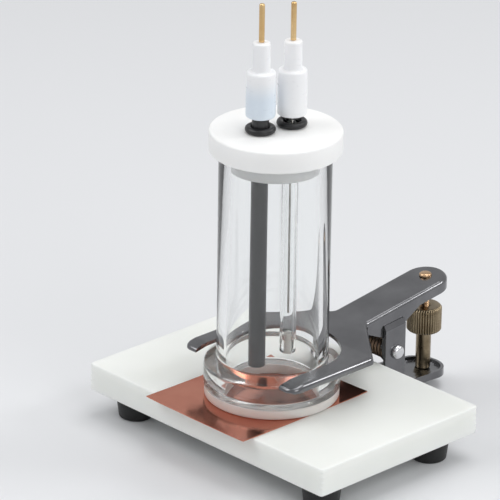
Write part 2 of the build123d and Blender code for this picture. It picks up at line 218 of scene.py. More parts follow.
def levels(node: str) -> Pair:
    """The lowest and highest level of a CAD node, in millimetres."""
    low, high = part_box(node)
    return low[2] / MM, high[2] / MM


def radius_of(node: str) -> float:
    """Half the width of a round CAD node, in millimetres."""
    low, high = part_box(node)
    return (high[0] - low[0]) / 2 / MM


def full_turn(count: int) -> np.ndarray:
    """Even angles once round, in radians, without the last one that meets the first."""
    return np.linspace(0, 2 * math.pi, count, endpoint=False)


def around(node: str, radius: np.ndarray, height: np.ndarray, angle: np.ndarray) -> np.ndarray:
    """Points (x + r cos a, y + r sin a, z) about the upright axis of a CAD node.

    Args:
        node: the CAD node.
        radius: radii in millimetres, one for each row or for each row and angle.
        height: heights in millimetres, as a column with one for each row.
        angle: the angles in radians.

    Returns:
        An array of shape (rows, angles, 3), in metres.
    """
    x, y = centre_of(node)
    level = np.repeat(height * MM, angle.size, axis=1)
    return np.stack([x + radius * MM * np.cos(angle), y + radius * MM * np.sin(angle), level], -1)


def turned(
    name: str, node: str, corners: Sequence[Corner], ring: bool, columns: int, steps: int = 7
) -> bpy.types.Object:
    """Solid of revolution about the axis of a CAD node.

    Args:
        name: the piece's name.
        node: the CAD node.
        corners: the profile's corners in order, in millimetres.
        ring: whether the profile is a closed ring. Otherwise it runs from pole to pole.
        columns: steps round the axis.
        steps: points on each rounded corner.

    Returns:
        The new object.
    """
    profile = rounded(corners, ring, steps)
    points = around(node, profile[:, :1], profile[:, 1:], full_turn(columns))
    return surface(name, points, ring)


class Graph:
    """A material's node tree, with short calls for its usual nodes."""

    def __init__(self, name: str) -> None:
        """Start a material with a Principled shader.

        Args:
            name: the material's name.
        """
        self.material = bpy.data.materials.new(name)
        self.material.use_nodes = True
        self.nodes = self.material.node_tree.nodes
        self.links = self.material.node_tree.links
        self.shader = self.nodes["Principled BSDF"]
        self.place = self.nodes.new("ShaderNodeTexCoord").outputs["Object"]

    def set(self, **values: object) -> None:
        """Set the shader's sockets by name, with underscores for spaces."""
        for key, value in values.items():
            self.shader.inputs[key.replace("_", " ")].default_value = value

    def scaled(self, scale: Sequence[float]) -> Socket:
        """Object coordinates stretched by a scale."""
        mapping = self.nodes.new("ShaderNodeMapping")
        mapping.inputs["Scale"].default_value = tuple(scale)
        self.links.new(self.place, mapping.inputs["Vector"])
        return mapping.outputs["Vector"]

    def noise(self, place: Socket, scale: float, detail: float = 4.0, rough: float = 0.55) -> Socket:
        """Noise over a place socket.

        Args:
            place: coordinates socket.
            scale: cells for each metre.
            detail: octaves.
            rough: weight of the fine octaves.

        Returns:
            The noise's factor socket.
        """
        node = self.nodes.new("ShaderNodeTexNoise")
        node.inputs["Scale"].default_value = scale
        node.inputs["Detail"].default_value = detail
        node.inputs["Roughness"].default_value = rough
        self.links.new(place, node.inputs["Vector"])
        return node.outputs["Fac"]

    def ramp(
        self, value: Socket, source: Pair, target: Pair = (0.0, 1.0), smooth: bool = False
    ) -> Socket:
        """Map a value from one range to another, and hold it at the ends.

        Args:
            value: the value's socket.
            source: the range that it comes from.
            target: the range that it goes to.
            smooth: whether the change eases in and out.

        Returns:
            The mapped value's socket.
        """
        node = self.nodes.new("ShaderNodeMapRange")
        if smooth:
            node.interpolation_type = "SMOOTHSTEP"
        for name, limits in (("From", source), ("To", target)):
            node.inputs[name + " Min"].default_value = limits[0]
            node.inputs[name + " Max"].default_value = limits[1]
        self.links.new(value, node.inputs["Value"])
        return node.outputs["Result"]

    def spread(self, value: Socket, low: float, high: float) -> Socket:
        """Map a noise's middle range, where nearly all of it lies, to the range from low to high."""
        return self.ramp(value, (0.3, 0.7), (low, high))

    def calculate(self, operation: str, first: Socket, second: Socket) -> Socket:
        """Result of a math node's operation on two values."""
        node = self.nodes.new("ShaderNodeMath")
        node.operation = operation
        self.links.new(first, node.inputs[0])
        self.links.new(second, node.inputs[1])
        return node.outputs["Value"]

    def blend(self, value: Socket, first: Colour, second: Colour) -> Socket:
        """Colour between two, by a noise spread over its middle range."""
        node = self.nodes.new("ShaderNodeMix")
        node.data_type = "RGBA"
        node.inputs["A"].default_value = (*first, 1)
        node.inputs["B"].default_value = (*second, 1)
        self.links.new(self.spread(value, 0, 1), node.inputs["Factor"])
        return node.outputs["Result"]

    def below(self, level: float, fade: float, colour: Socket, lower: Colour) -> Socket:
        """Colour that turns into another one below a level.

        Args:
            level: where the change starts, in metres above the table.
            fade: the height over which it takes place, in metres.
            colour: the colour above, as a socket.
            lower: the linear colour below.

        Returns:
            The mixed colour's socket.
        """
        split = self.nodes.new("ShaderNodeSeparateXYZ")
        self.links.new(self.place, split.inputs["Vector"])
        above = self.ramp(split.outputs["Z"], (level - fade, level), smooth=True)
        node = self.nodes.new("ShaderNodeMix")
        node.data_type = "RGBA"
        node.inputs["A"].default_value = (*lower, 1)
        self.links.new(colour, node.inputs["B"])
        self.links.new(above, node.inputs["Factor"])
        return node.outputs["Result"]

    def bump(self, value: Socket, depth: float) -> None:
        """Give the shader's normal a bump of a depth in millimetres."""
        node = self.nodes.new("ShaderNodeBump")
        node.inputs["Distance"].default_value = depth * MM
        self.links.new(value, node.inputs["Height"])
        self.links.new(node.outputs["Normal"], self.shader.inputs["Normal"])

    def feed(self, value: Socket, socket: str) -> None:
        """Link a socket to one of the shader's inputs."""
        self.links.new(value, self.shader.inputs[socket])


def linear(red: float, green: float, blue: float) -> Colour:
    """Linear colour of an sRGB colour given from 0 to 255: a 2.4 power above the dark toe."""
    share = np.array([red, green, blue]) / 255
    high = ((share + 0.055) / 1.055) ** 2.4
    return tuple(float(v) for v in np.where(share <= 0.04045, share / 12.92, high))


class Grain(Enum):
    """How a metal's fine marks run: their cells for each metre along X, Y and Z."""

    ROLLED = (110.0, 160.0, 160.0)
    TURNED = (60.0, 60.0, 1500.0)
    EVEN = (400.0, 400.0, 400.0)


@dataclass(frozen=True)
class TwoTone:
    """Finish whose colour strays between two tones.

    Args:
        name: the material's name.
        colour: linear base colour.
        second: linear colour of its patches.
        rough: roughness, which strays from this value.
    """

    name: str
    colour: Colour
    second: Colour
    rough: float


@dataclass(frozen=True)
class Plastic(TwoTone):
    """White or pale plastic with a fine machined skin and faint mottling.

    Args:
        skin: depth of the fine marks.
        marks: cells of the fine marks for each metre, along X, Y and Z.
        glow: weight of subsurface scattering.
        reach: how far light spreads under the skin.
        rod_shade: linear colour of the painted shade that a dark rod inside casts on the lower part, or
            None.
        rod_shade_top: level above which the rod's painted shade stops.
        rod_shade_fade: height over which the painted shade comes in.
        mottling: cells of the faint mottling for each metre.
        stray: how far the roughness goes down and up.
    """

    skin: float
    marks: Triple
    glow: float = 0.6
    reach: float = 2.0
    rod_shade: Colour | None = None
    rod_shade_top: float = 0.0
    rod_shade_fade: float = 9.0
    mottling: float = 40.0
    stray: Pair = (-0.05, 0.08)

    def material(self) -> bpy.types.Material:
        """Build the material."""
        graph = Graph(self.name)
        graph.set(Subsurface_Weight=self.glow, Subsurface_Scale=self.reach * MM)
        graph.set(Subsurface_Radius=(1, 0.98, 0.95))
        cloudy = graph.noise(graph.place, self.mottling, 2.0)
        fine = graph.noise(graph.scaled(self.marks), 1.0, 6.0, 0.6)
        colour = graph.blend(cloudy, self.colour, self.second)
        # Painted shade: below a level the dark rod inside shades the milky plastic, so its colour turns to
        # a darker blue-grey.
        if self.rod_shade:
            colour = graph.below(self.rod_shade_top * MM, self.rod_shade_fade * MM, colour, self.rod_shade)
        graph.feed(colour, "Base Color")
        low, high = (self.rough + change for change in self.stray)
        graph.feed(graph.spread(fine, low, high), "Roughness")
        graph.bump(fine, self.skin)
        return graph.material


@dataclass(frozen=True)
class Glass:
    """Clear borosilicate glass.

    Args:
        name: the material's name.
        tint: linear colour of the glass.
        wave: depth of the drawn waviness.
        drawn: cells of the waviness for each metre, along X, Y and Z.
    """

    name: str
    tint: Colour = (0.985, 0.992, 0.99)
    wave: float = 0.004
    drawn: Triple = (60.0, 60.0, 8.0)

    def material(self) -> bpy.types.Material:
        """Build the material."""
        graph = Graph(self.name)
        graph.set(Base_Color=(*self.tint, 1), Transmission_Weight=1.0, IOR=1.473, Roughness=0.0)
        graph.bump(graph.noise(graph.scaled(self.drawn), 1.0, 2.0), self.wave)
        return graph.material


@dataclass(frozen=True)
class Metal(TwoTone):
    """Bare metal with fine marks, faint stains and uneven gloss.

    Args:
        vary: how far the roughness rises.
        grain: how the fine marks run.
        depth: depth of the fine marks.
        stain: cells of the stains for each metre.
    """

    vary: float
    grain: Grain
    depth: float = 0.01
    stain: float = 120.0

    def material(self) -> bpy.types.Material:
        """Build the material."""
        graph = Graph(self.name)
        graph.set(Metallic=1.0)
        stains = graph.noise(graph.place, self.stain, 5.0)
        marks = graph.noise(graph.scaled(self.grain.value), 1.0, 5.0, 0.65)
        graph.feed(graph.blend(stains, self.colour, self.second), "Base Color")
        graph.feed(graph.spread(marks, self.rough, self.rough + self.vary), "Roughness")
        graph.bump(marks, self.depth)
        return graph.material


@dataclass(frozen=True)
class Dark(TwoTone):
    """Rubber or graphite: a dark matt skin with fine marks and lighter patches.

    Args:
        marks: cells of the fine marks for each metre, along X, Y and Z.
        sheen: weight of a dusty sheen.
        vary: how far the roughness strays either way.
        depth: depth of the fine marks.
    """

    marks: Triple
    sheen: float = 0.0
    vary: float = 0.08
    depth: float = 0.015

    def material(self) -> bpy.types.Material:
        """Build the material."""
        graph = Graph(self.name)
        graph.set(Sheen_Weight=self.sheen)
        fine = graph.noise(graph.scaled(self.marks), 1.0, 5.0, 0.6)
        graph.feed(graph.blend(fine, self.colour, self.second), "Base Color")
        graph.feed(graph.spread(fine, self.rough - self.vary, self.rough + self.vary), "Roughness")
        graph.bump(fine, self.depth)
        return graph.material


@dataclass(frozen=True)
class Silicone:
    """Milky see-through silicone of the gasket.

    Args:
        name: the material's name.
        colour: linear base colour.
        grain: cells of its fine marks for each metre.
        depth: depth of the fine marks.
    """

    name: str
    colour: Colour
    grain: float = 700.0
    depth: float = 0.01

    def material(self) -> bpy.types.Material:
        """Build the material."""
        graph = Graph(self.name)
        graph.set(Base_Color=(*self.colour, 1), Transmission_Weight=0.15, IOR=1.41, Roughness=0.36)
        graph.set(Subsurface_Weight=0.7, Subsurface_Radius=(1, 0.85, 0.78), Subsurface_Scale=3 * MM)
        graph.bump(graph.noise(graph.place, self.grain), self.depth)
        return graph.material


@dataclass
class Workshop:
    """Fits finished pieces to their bodies.

    Args:
        slots: the material slot of each CAD node; not used.
    """

    slots: dict[str, str]

    def fit(self, piece: bpy.types.Object, body: str, finish: bpy.types.Material, node: str) -> None:
        """Give a piece its material, its body and the CAD node that it stands for.

        Args:
            piece: the finished piece.
            body: the body that it rides on.
            finish: its material.
            node: the CAD node.
        """
        piece.data.materials.clear()
        piece.data.materials.append(finish)
        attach(piece, body)
        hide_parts(node)
        log.info("%s rides on %s and stands for %s", piece.name, body, node)


@dataclass
class Assembly:
    """A sub-assembly of the cell.

    Args:
        shop: the workshop that fits its pieces.
    """

    shop: Workshop

    def build(self) -> None:
        """Build and fit the pieces."""
        raise NotImplementedError


@dataclass
class Board(Assembly):
    """White board with sawn edges, its rubber feet and their screws.

    Args:
        corner: radius of the upright corners.
        edge: radius of the long edges.
        ridge: depth of the cutter's ridges along the sides.
        burr: their depth at the upright corners.
        coarse: turn of the coarse ridges' wave for each millimetre of height, in radians.
        fine: the same of the fine ridges' wave.
        weight: share of the coarse ridges in the whole.
        drift: turn for each millimetre of outline of the wave that shifts them, in radians.
        onset: share of the ridges' depth where the edges' rounding starts.
        step: distance between points along the outline.
        rows: steps up the sides.
        rings: insets of the outer two rings on the flat faces.
        innermost: inset of their inner ring, as a share of the board's half width.
    """

    corner: float = 0.9
    edge: float = 0.5
    ridge: float = 0.02
    burr: float = 0.3
    coarse: float = 2.9
    fine: float = 6.1
    weight: float = 0.6
    drift: float = 0.045
    onset: float = 0.3
    step: float = 1.0
    rows: int = 42
    rings: Pair = (6.0, 2.0)
    innermost: float = 0.9

    def outline(self, half_x: float, half_y: float) -> np.ndarray:
        """Rounded rectangle, walked at even steps.

        Args:
            half_x: half the length, in millimetres.
            half_y: half the width, in millimetres.

        Returns:
            Rows of (x, y) about the middle.
        """
        inner = np.array([half_x - self.corner, half_y - self.corner])
        arc = np.linspace(0, math.pi / 2, 6)
        parts = []
        signs = ((1, 1), (-1, 1), (-1, -1), (1, -1))
        for quarter, sign in enumerate(signs):
            turn = arc + quarter * math.pi / 2
            parts.append(inner * sign + self.corner * np.stack([np.cos(turn), np.sin(turn)], -1))
            after = signs[(quarter + 1) % len(signs)]
            start = parts[-1][-1]
            away = turn[-1]
            end = inner * after + self.corner * np.array([math.cos(away), math.sin(away)])
            count = int(np.linalg.norm(end - start) / self.step)
            share = np.linspace(0, 1, count)[1:-1, None]
            parts.append(start + (end - start) * share)
        return np.concatenate(parts)

    def slab(self) -> bpy.types.Object:
        """The board: the outline carried up a rounded profile, with the cutter's level ridges.

        Each point of the outline moves inwards by the profile's inset and by the ridges. These
        are a sum of two sines of the height, whose phase drifts along the outline, and their
        depth grows towards the upright corners as exp(-d^2 / 2) of the distance d from one.
        """
        low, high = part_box("base_board")
        bottom, top = levels("base_board")
        half_x = (high[0] - low[0]) / 2 / MM
        half_y = (high[1] - low[1]) / 2 / MM
        walk = self.outline(half_x, half_y)
        length = np.cumsum(np.hypot(*(walk - np.roll(walk, 1, axis=0)).T))
        turn = np.linspace(0, math.pi / 2, 5)
        side = np.linspace(bottom + self.edge, top - self.edge, self.rows)[1:-1]
        lower, upper = self.edge * (1 - np.sin(turn)), self.edge * (1 - np.cos(turn))
        flat = np.array([half_y * self.innermost, *self.rings])
        bare = np.zeros(flat.size)
        inset = np.concatenate([flat, lower, np.zeros(side.size), upper, flat[::-1]])
        height = np.concatenate([bare + bottom, bottom + upper, side, top - lower, bare + top])
        rising = np.linspace(self.onset, 1, turn.size)
        falling = np.linspace(1, self.onset, turn.size)
        on_side = np.concatenate([bare, rising, np.ones(side.size), falling, bare])[:, None]
        drift = np.sin(length * self.drift)[None]
        level = height[:, None]
        coarse = np.sin(self.coarse * level + drift)
        fine = np.sin(self.fine * level + 1 + 2 * drift)
        waves = self.weight * coarse + (1 - self.weight) * fine
        away = ((half_x - np.abs(walk[:, 0])) ** 2 + (half_y - np.abs(walk[:, 1])) ** 2) / 2
        depth = self.ridge + (self.burr - self.ridge) * np.exp(-away)[None]
        inward = inset[:, None] + on_side * depth * (1 - waves) / 2
        along_x = walk[None, :, 0] * (1 - inward / half_x)
        along_y = walk[None, :, 1] * (1 - inward / half_y)
        x, y = centre_of("base_board")
        level = np.repeat(level, walk.shape[0], axis=1) * MM
        points = np.stack([x + along_x * MM, y + along_y * MM, level], -1)
        middle = points.mean(axis=1, keepdims=True)[[0, -1]]
        middle = np.repeat(middle, walk.shape[0], axis=1)
        points = np.concatenate([middle[:1], points, middle[1:]])
        return surface("board", points, False, 50.0)

    def build(self) -> None:
        """Build and fit the board, the feet and the screws."""
        white = Plastic(
            "board_white", linear(241, 243, 239), linear(238, 240, 235),
            rough=0.4, skin=0.004, marks=(900, 900, 900), glow=0.7, reach=4.0,
        )
        rubber = Dark(
            "foot_rubber", linear(10, 10, 11), linear(20, 20, 21),
            rough=0.6, marks=(700, 700, 700), sheen=0.1,
        ).material()
        steel = Metal(
            "screw_steel", linear(170, 170, 168), linear(140, 139, 136),
            rough=0.25, vary=0.15, grain=Grain.TURNED,
        )
        self.shop.fit(self.slab(), "root", white.material(), "base_board")
        for node in ("foot_front_left", "foot_front_right", "foot_rear_left", "foot_rear_right"):
            self.shop.fit(dressed_copy(node, 0.3), "root", rubber, node)
        self.shop.fit(dressed_copy("foot_screws", 0.12), "root", steel.material(), "foot_screws")


@dataclass
class Sample(Assembly):
    """Copper sheet and the gasket on it.

    Args:
        lift: how far the sheet's free corners rise.
        ripple: height of the sheet's waves.
        waves: turn of the waves for each millimetre along X and along Y, in radians.
        margin: flat width round the gasket.
        onset: width over which the waves and the rise come in.
        bore_inset: from the flange's rim in to the gasket's bore.
        cells: points along each side of the sheet.
    """

    lift: float = 0.25
    ripple: float = 0.05
    waves: Pair = (0.31, 0.23)
    margin: float = 0.5
    onset: float = 8.0
    bore_inset: float = 8.0
    cells: int = 90

    def sheet(self) -> bpy.types.Object:
        """The sheet: a flat grid whose free margin waves and rises towards its corners.

        The rise is the product of the two distances from the middle, cubed, and the waves are
        a product of two sines. Both are 0 under the gasket. The lower face follows the upper.
        """
        low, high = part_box("copper_sheet")
        cell_x, cell_y = centre_of("glass_cell")
        share = np.linspace(0, 1, self.cells)
        u, v = np.meshgrid(share, share, indexing="ij")
        x = low[0] + (high[0] - low[0]) * u
        y = low[1] + (high[1] - low[1]) * v
        away = np.hypot(x - cell_x, y - cell_y) / MM - radius_of("gasket") - self.margin
        free = np.clip(away / self.onset, 0, 1) ** 2
        corner = np.abs((2 * u - 1) * (2 * v - 1)) ** 3
        waves = (1 + np.sin(x / MM * self.waves[0] + 1) * np.sin(y / MM * self.waves[1])) / 2
        rise = free * (self.lift * corner + self.ripple * waves) * MM
        top = np.stack([x, y, high[2] + rise], -1)
        under = np.stack([x, y, low[2] + rise], -1)
        count = self.cells * self.cells
        index = np.arange(count).reshape(self.cells, self.cells)
        quads = np.stack([index[:-1, :-1], index[1:, :-1], index[1:, 1:], index[:-1, 1:]], -1)
        upper = quads.reshape(-1, 4)
        rim = np.concatenate([index[:, 0], index[-1, 1:], index[-2::-1, -1], index[0, -2:0:-1]])
        sides = np.stack([rim, np.roll(rim, -1), np.roll(rim, -1) + count, rim + count], -1)
        points = np.concatenate([top.reshape(-1, 3), under.reshape(-1, 3)])
        faces = np.concatenate([upper, upper[:, ::-1] + count, sides])
        mesh = bpy.data.meshes.new("sheet")
        mesh.from_pydata(points.tolist(), [], faces.tolist())
        return closed_piece("sheet", mesh, 30.0)

    def gasket(self) -> bpy.types.Object:
        """The gasket: a flat ring with rounded edges, turned round the cell's axis."""
        bottom, top = levels("gasket")
        outer = radius_of("gasket")
        bore = radius_of("glass_cell") - self.bore_inset
        corners = [
            Corner(bore, bottom, 0.3),
            Corner(outer, bottom, 0.5),
            Corner(outer, top, 0.5),
            Corner(bore, top, 0.3),
        ]
        return turned("gasket_ring", "gasket", corners, True, 144)

    def build(self) -> None:
        """Build and fit the sheet and the gasket."""
        copper = Metal(
            "copper", linear(208, 138, 114), linear(188, 112, 90),
            rough=0.11, vary=0.1, grain=Grain.ROLLED, depth=0.05, stain=45.0,
        )
        # The gasket's faint pink is painted reflection of the copper under it; its milky white is its own.
        silicone = Silicone("silicone", linear(248, 238, 232))
        self.shop.fit(self.sheet(), "root", copper.material(), "copper_sheet")
        self.shop.fit(self.gasket(), "root", silicone.material(), "gasket")


@dataclass
class Tube(Assembly):
    """Flanged glass tube.

    Args:
        wall: thickness of the tube's wall.
        outer: outer radius of the tube.
        flange: height of the flange at its rim.
        slope: rise of the flange's back from its rim to the tube.
    """

    wall: float = 3.5
    outer: float = 20.0
    flange: float = 8.9
    slope: float = 2.5

    def build(self) -> None:
        """Build and fit the tube."""
        bottom, top = levels("glass_cell")
        rim = radius_of("glass_cell")
        bore = self.outer - self.wall
        shoulder = bottom + self.flange
        corners = [
            Corner(bore, bottom, 0.5),
            Corner(rim, bottom, 0.6),
            Corner(rim, shoulder, 1.6),
            Corner(self.outer, shoulder + self.slope, 1.0),
            Corner(self.outer, top, 0.9),
            Corner(bore, top, 0.9),
        ]
        tube = turned("glass_tube", "glass_cell", corners, True, 192, 9)
        self.shop.fit(tube, "root", Glass("clear_glass").material(), "glass_cell")


@dataclass
class Lid(Assembly):
    """White cap of the tube.

    Args:
        ease: width of its eased edges.
    """

    ease: float = 0.15

    def build(self) -> None:
        """Build and fit the cap."""
        white = Plastic(
            "cap_white", linear(253, 253, 251), linear(250, 250, 247),
            rough=0.4, skin=0.003, marks=(250, 250, 2600), glow=0.5, reach=3.0,
        )
        self.shop.fit(dressed_copy("cap", self.ease), "cap", white.material(), "cap")


@dataclass
class Electrode(Assembly):
    """Rod electrode with its stepped handle, contact pin and O-ring.

    Args:
        key: first word of its nodes' names, and of its body's.
        shell: finish of the handle.
        shoulder: length of the handle's wide part.
        neck: radius of the narrow part.
        socket: radius of the hole for the rod or stem.
        shank: radius of the hole for the pin.
        depth: depth to which both holes are open.
        gap: between the pin's shank and its hole.
        draft: how far the wide part narrows towards its shoulder.
        draft_length: length over which it does.
    """

    key: str
    shell: Plastic
    shoulder: float = 16.8
    neck: float = 3.2
    socket: float = 3.05
    shank: float = 0.85
    depth: float = 2.0
    gap: float = 0.05
    draft: float = 0.18
    draft_length: float = 2.6

    @property
    def body(self) -> str:
        """The body that the electrode's pieces ride on."""
        return self.key + "_electrode"

    def handle(self) -> bpy.types.Object:
        """The handle: a wide and a narrow cylinder with rounded edges, turned round its axis."""
        node = self.key + "_handle"
        bottom, top = levels(node)
        step = bottom + self.shoulder
        wide = radius_of(node)
        corners = [
            Corner(0, bottom + self.depth),
            Corner(self.socket, bottom + self.depth),
            Corner(self.socket, bottom, 0.15),
            Corner(wide, bottom, 0.9),
            Corner(wide, step - self.draft_length, 6.0),
            Corner(wide - self.draft, step, 0.8),
            Corner(self.neck, step, 0.7),
            Corner(self.neck, top, 0.8),
            Corner(self.shank, top, 0.1),
            Corner(self.shank, top - self.depth),
            Corner(0, top - self.depth),
        ]
        return turned(node + "_shell", node, corners, False, 96)

    def seal(self) -> bpy.types.Object:
        """The O-ring: a circle of section radius s carried round at R, as (R + s cos b, s sin b)."""
        node = self.key + "_ring"
        bottom, top = levels(node)
        section = (top - bottom) / 2
        turn = full_turn(28)[:, None]
        radius = radius_of(node) - section + section * np.cos(turn)
        height = bottom + section * (1 + np.sin(turn))
        return surface(node + "_seal", around(node, radius, height, full_turn(96)), True)

    def pin(self) -> bpy.types.Object:
        """The contact pin: a thin shank in the handle, a cylinder over it and a rounded end."""
        node = self.key + "_pin"
        bottom, top = levels(node)
        seat = levels(self.key + "_handle")[1]
        radius = radius_of(node)
        corners = [
            Corner(0, bottom),
            Corner(self.shank - self.gap, bottom, 0.2),
            Corner(self.shank - self.gap, seat, 0.05),
            Corner(radius, seat, 0.1),
            Corner(radius, top, 0.6),
            Corner(0, top),
        ]
        return turned(node + "_gilt", node, corners, False, 48)

    def build(self) -> None:
        """Build and fit the parts that both electrodes have."""
        rubber = Dark(
            "seal_rubber", linear(14, 14, 15), linear(24, 24, 25),
            rough=0.38, marks=(500, 500, 500), sheen=0.05,
        )
        gilt = Metal(
            "gilt", linear(226, 196, 146), linear(204, 166, 112),
            rough=0.14, vary=0.1, grain=Grain.TURNED, depth=0.002,
        )
        self.shop.fit(self.handle(), self.body, self.shell.material(), self.key + "_handle")
        self.shop.fit(self.seal(), self.body, rubber.material(), self.key + "_ring")
        self.shop.fit(self.pin(), self.body, gilt.material(), self.key + "_pin")


@dataclass
class Counter(Electrode):
    """Counter electrode with its graphite rod."""

    def build(self) -> None:
        """Build and fit the electrode."""
        super().build()
        bottom, top = levels("counter_rod")
        radius = radius_of("counter_rod")
        corners = [
            Corner(0, bottom),
            Corner(radius, bottom, 0.3),
            Corner(radius, top, 0.3),
            Corner(0, top),
        ]
        rod = turned("graphite_rod", "counter_rod", corners, False, 64)
        graphite = Dark(
            "graphite", linear(34, 34, 35), linear(50, 50, 51), rough=0.34, marks=(1500, 1500, 90)
        )
        self.shop.fit(rod, self.body, graphite.material(), "counter_rod")


@dataclass
class Reference(Electrode):
    """Reference electrode with its glass stem, frit and wire.

    Args:
        bore: inner radius of the stem.
        tip: length of the narrowed tip.
    """

    bore: float = 2.1
    tip: float = 7.2

    def stem(self) -> bpy.types.Object:
        """The stem: a thin glass tube drawn in round the frit at its tip."""
        bottom, top = levels("reference_stem")
        radius = radius_of("reference_stem")
        frit = radius_of("reference_frit") + self.gap
        corners = [
            Corner(frit, bottom, 0.2),
            Corner(radius, bottom, 0.8),
            Corner(radius, top, 0.2),
            Corner(self.bore, top, 0.2),
            Corner(self.bore, bottom + self.tip, 0.5),
            Corner(frit, bottom + self.tip * 2 / 3, 0.3),
        ]
        return turned("stem_glass", "reference_stem", corners, True, 72)

    def build(self) -> None:
        """Build and fit the electrode."""
        super().build()
        clear = Glass("stem_clear", wave=0.0005)
        # The frit's warm cream tint is painted reflection of the copper below; its white is its own.
        ceramic = Plastic(
            "ceramic", linear(250, 244, 236), linear(240, 230, 220),
            rough=0.7, skin=0.01, marks=(1800, 1800, 1800),
        )
        silver = Metal(
            "silver", linear(206, 204, 198), linear(160, 156, 150),
            rough=0.25, vary=0.2, grain=Grain.EVEN,
        )
        self.shop.fit(self.stem(), self.body, clear.material(), "reference_stem")
        self.shop.fit(dressed_copy("reference_frit", 0.1), self.body, ceramic.material(), "reference_frit")
        self.shop.fit(dressed_copy("reference_wire"), self.body, silver.material(), "reference_wire")


